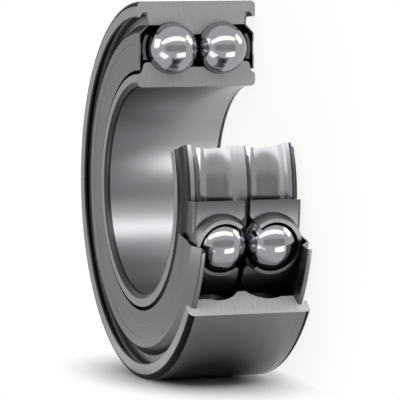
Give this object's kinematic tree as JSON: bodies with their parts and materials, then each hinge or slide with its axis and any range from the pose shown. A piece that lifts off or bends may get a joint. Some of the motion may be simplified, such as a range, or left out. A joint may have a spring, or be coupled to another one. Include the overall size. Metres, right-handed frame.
{
  "type": "double row angular contact ball bearing",
  "caption": "Cutaway double row angular contact ball bearing with one-piece rings, pressed cages, polished balls and pressed metal shields.",
  "frame": {"origin": "centre of the bore, on the axis and halfway between the end faces", "axes": "+Z along the bore axis; the flat section through every piece lies on the +X half of the XZ plane and the steps of the cut open towards -Y"},
  "size_m": [0.11, 0.1048, 0.0364],
  "materials": {
    "ring_steel": "ground",
    "ball_steel": "polished",
    "cage_steel": "pressed",
    "shield_steel": "pressed"
  },
  "bodies": {
    "outer": {"outer_ring": "ring_steel", "shield_upper": "shield_steel", "shield_lower": "shield_steel"},
    "inner": {"inner_ring": "ring_steel"},
    "cage_upper": {"cage_upper": "cage_steel"},
    "cage_lower": {"cage_lower": "cage_steel"},
    "ball_upper_01": {"ball_upper_01": "ball_steel"},
    "ball_upper_02": {"ball_upper_02": "ball_steel"},
    "ball_upper_03": {"ball_upper_03": "ball_steel"},
    "ball_upper_04": {"ball_upper_04": "ball_steel"},
    "ball_upper_05": {"ball_upper_05": "ball_steel"},
    "ball_upper_06": {"ball_upper_06": "ball_steel"},
    "ball_upper_07": {"ball_upper_07": "ball_steel"},
    "ball_upper_08": {"ball_upper_08": "ball_steel"},
    "ball_lower_01": {"ball_lower_01": "ball_steel"},
    "ball_lower_02": {"ball_lower_02": "ball_steel"},
    "ball_lower_03": {"ball_lower_03": "ball_steel"},
    "ball_lower_04": {"ball_lower_04": "ball_steel"},
    "ball_lower_05": {"ball_lower_05": "ball_steel"},
    "ball_lower_06": {"ball_lower_06": "ball_steel"},
    "ball_lower_07": {"ball_lower_07": "ball_steel"},
    "ball_lower_08": {"ball_lower_08": "ball_steel"}
  },
  "joints": [
    {"name": "inner_spin", "type": "hinge", "parent": "outer", "child": "inner", "pos_m": [0, 0, 0], "axis": [0, 0, 1], "continuous": true},
    {"name": "cage_upper_orbit", "type": "hinge", "parent": "outer", "child": "cage_upper", "pos_m": [0, 0, 0], "axis": [0, 0, 1], "continuous": true},
    {"name": "cage_lower_orbit", "type": "hinge", "parent": "outer", "child": "cage_lower", "pos_m": [0, 0, 0], "axis": [0, 0, 1], "continuous": true},
    {"name": "ball_upper_01_spin", "type": "hinge", "parent": "cage_upper", "child": "ball_upper_01", "pos_m": [0.04125, 0, 0.00765], "axis": [0.5, 0, 0.866], "continuous": true},
    {"name": "ball_upper_02_spin", "type": "hinge", "parent": "cage_upper", "child": "ball_upper_02", "pos_m": [0.03337, 0.02425, 0.00765], "axis": [0.4045, 0.2939, 0.866], "continuous": true},
    {"name": "ball_upper_03_spin", "type": "hinge", "parent": "cage_upper", "child": "ball_upper_03", "pos_m": [0.01275, 0.03923, 0.00765], "axis": [0.1545, 0.4755, 0.866], "continuous": true},
    {"name": "ball_upper_04_spin", "type": "hinge", "parent": "cage_upper", "child": "ball_upper_04", "pos_m": [-0.01275, 0.03923, 0.00765], "axis": [-0.1545, 0.4755, 0.866], "continuous": true},
    {"name": "ball_upper_05_spin", "type": "hinge", "parent": "cage_upper", "child": "ball_upper_05", "pos_m": [-0.03337, 0.02425, 0.00765], "axis": [-0.4045, 0.2939, 0.866], "continuous": true},
    {"name": "ball_upper_06_spin", "type": "hinge", "parent": "cage_upper", "child": "ball_upper_06", "pos_m": [-0.04125, 0, 0.00765], "axis": [-0.5, 0, 0.866], "continuous": true},
    {"name": "ball_upper_07_spin", "type": "hinge", "parent": "cage_upper", "child": "ball_upper_07", "pos_m": [-0.03337, -0.02425, 0.00765], "axis": [-0.4045, -0.2939, 0.866], "continuous": true},
    {"name": "ball_upper_08_spin", "type": "hinge", "parent": "cage_upper", "child": "ball_upper_08", "pos_m": [-0.01275, -0.03923, 0.00765], "axis": [-0.1545, -0.4755, 0.866], "continuous": true},
    {"name": "ball_lower_01_spin", "type": "hinge", "parent": "cage_lower", "child": "ball_lower_01", "pos_m": [0.04125, 0, -0.00765], "axis": [-0.5, 0, 0.866], "continuous": true},
    {"name": "ball_lower_02_spin", "type": "hinge", "parent": "cage_lower", "child": "ball_lower_02", "pos_m": [0.03337, 0.02425, -0.00765], "axis": [-0.4045, -0.2939, 0.866], "continuous": true},
    {"name": "ball_lower_03_spin", "type": "hinge", "parent": "cage_lower", "child": "ball_lower_03", "pos_m": [0.01275, 0.03923, -0.00765], "axis": [-0.1545, -0.4755, 0.866], "continuous": true},
    {"name": "ball_lower_04_spin", "type": "hinge", "parent": "cage_lower", "child": "ball_lower_04", "pos_m": [-0.01275, 0.03923, -0.00765], "axis": [0.1545, -0.4755, 0.866], "continuous": true},
    {"name": "ball_lower_05_spin", "type": "hinge", "parent": "cage_lower", "child": "ball_lower_05", "pos_m": [-0.03337, 0.02425, -0.00765], "axis": [0.4045, -0.2939, 0.866], "continuous": true},
    {"name": "ball_lower_06_spin", "type": "hinge", "parent": "cage_lower", "child": "ball_lower_06", "pos_m": [-0.04125, 0, -0.00765], "axis": [0.5, 0, 0.866], "continuous": true},
    {"name": "ball_lower_07_spin", "type": "hinge", "parent": "cage_lower", "child": "ball_lower_07", "pos_m": [-0.03337, -0.02425, -0.00765], "axis": [0.4045, 0.2939, 0.866], "continuous": true},
    {"name": "ball_lower_08_spin", "type": "hinge", "parent": "cage_lower", "child": "ball_lower_08", "pos_m": [-0.01275, -0.03923, -0.00765], "axis": [0.1545, 0.4755, 0.866], "continuous": true}
  ],
  "couplings": [
    {"joint": "cage_upper_orbit", "follows": "inner_spin", "ratio": 0.42085},
    {"joint": "cage_lower_orbit", "follows": "inner_spin", "ratio": 0.42085},
    {"joint": "ball_upper_01_spin", "follows": "inner_spin", "ratio": -2.6667},
    {"joint": "ball_upper_02_spin", "follows": "inner_spin", "ratio": -2.6667},
    {"joint": "ball_upper_03_spin", "follows": "inner_spin", "ratio": -2.6667},
    {"joint": "ball_upper_04_spin", "follows": "inner_spin", "ratio": -2.6667},
    {"joint": "ball_upper_05_spin", "follows": "inner_spin", "ratio": -2.6667},
    {"joint": "ball_upper_06_spin", "follows": "inner_spin", "ratio": -2.6667},
    {"joint": "ball_upper_07_spin", "follows": "inner_spin", "ratio": -2.6667},
    {"joint": "ball_upper_08_spin", "follows": "inner_spin", "ratio": -2.6667},
    {"joint": "ball_lower_01_spin", "follows": "inner_spin", "ratio": -2.6667},
    {"joint": "ball_lower_02_spin", "follows": "inner_spin", "ratio": -2.6667},
    {"joint": "ball_lower_03_spin", "follows": "inner_spin", "ratio": -2.6667},
    {"joint": "ball_lower_04_spin", "follows": "inner_spin", "ratio": -2.6667},
    {"joint": "ball_lower_05_spin", "follows": "inner_spin", "ratio": -2.6667},
    {"joint": "ball_lower_06_spin", "follows": "inner_spin", "ratio": -2.6667},
    {"joint": "ball_lower_07_spin", "follows": "inner_spin", "ratio": -2.6667},
    {"joint": "ball_lower_08_spin", "follows": "inner_spin", "ratio": -2.6667}
  ]
}
